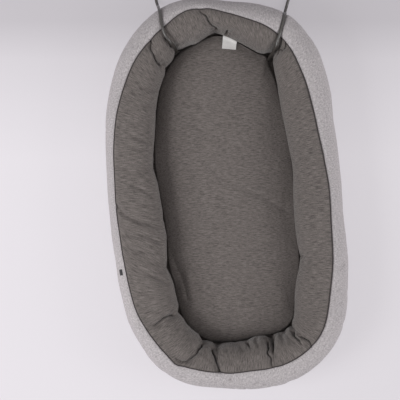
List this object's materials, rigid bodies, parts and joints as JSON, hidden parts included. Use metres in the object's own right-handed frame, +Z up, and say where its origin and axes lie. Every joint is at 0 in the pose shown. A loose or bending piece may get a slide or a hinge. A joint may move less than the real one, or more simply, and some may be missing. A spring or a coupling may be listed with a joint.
{
  "type": "infant lounger",
  "caption": "Soft oval nest for a baby: a stuffed roll sewn into a ring round a padded floor, with a loose mattress, hanging cords and a zip underneath.",
  "frame": {"origin": "middle of the underside, on the surface that the lounger lies on", "axes": "+Y towards the head end, where the roll's ends meet; +Z up; +X to the right seen from above with the head away from the viewer"},
  "size_m": [0.5284, 0.9125, 0.1283],
  "materials": {
    "marl_knit": "light grey marl knit, brushed, matt",
    "melange_jersey": "dark grey melange cotton jersey, matt",
    "mattress_jersey": "dark grey melange cotton jersey, matt",
    "piping": "dark woven piping, matt",
    "fibre_filling": "white polyester fibre filling and wadding",
    "foam": "pale open-cell polyurethane foam",
    "white_label": "white woven tape, bare",
    "black_label": "black woven tape, bare",
    "cord": "dark grey cord with a smooth sheen",
    "woven_tape": "grey woven tape",
    "zip_teeth": "grey moulded coil",
    "zip_metal": "grey nickel-plated metal"
  },
  "bodies": {
    "nest": {"outer_cover": "marl_knit", "base_panel": "marl_knit", "roll_cover": "melange_jersey", "floor_lining": "melange_jersey", "rim_piping": "piping", "bolster_filling": "fibre_filling", "base_wadding": "fibre_filling", "side_label": "black_label", "hanging_cord_left": "cord", "hanging_cord_right": "cord", "cord_knot_left": "cord", "cord_knot_right": "cord", "cord_anchor_left": "woven_tape", "cord_anchor_right": "woven_tape", "zip_tape_left": "woven_tape", "zip_tape_right": "woven_tape", "zip_teeth_left": "zip_teeth", "zip_teeth_right": "zip_teeth", "zip_stop_head": "zip_metal", "zip_stop_foot": "zip_metal"},
    "mattress": {"mattress_foam": "foam", "mattress_cover_top": "mattress_jersey", "mattress_cover_base": "mattress_jersey", "care_label": "white_label"},
    "zip_slider": {"zip_slider": "zip_metal"},
    "zip_pull": {"zip_pull": "zip_metal"}
  },
  "joints": [
    {"name": "mattress_lift", "type": "slide", "parent": "nest", "child": "mattress", "axis": [0, 0, 1], "range_m": [0, 0.15]},
    {"name": "zip_slide", "type": "slide", "parent": "nest", "child": "zip_slider", "axis": [0, -1, 0], "range_m": [0, 0.4]},
    {"name": "zip_pull_hinge", "type": "hinge", "parent": "zip_slider", "child": "zip_pull", "pos_m": [0, 0.204, 0.00256], "axis": [1, 0, 0], "range_deg": [0, 140]}
  ]
}
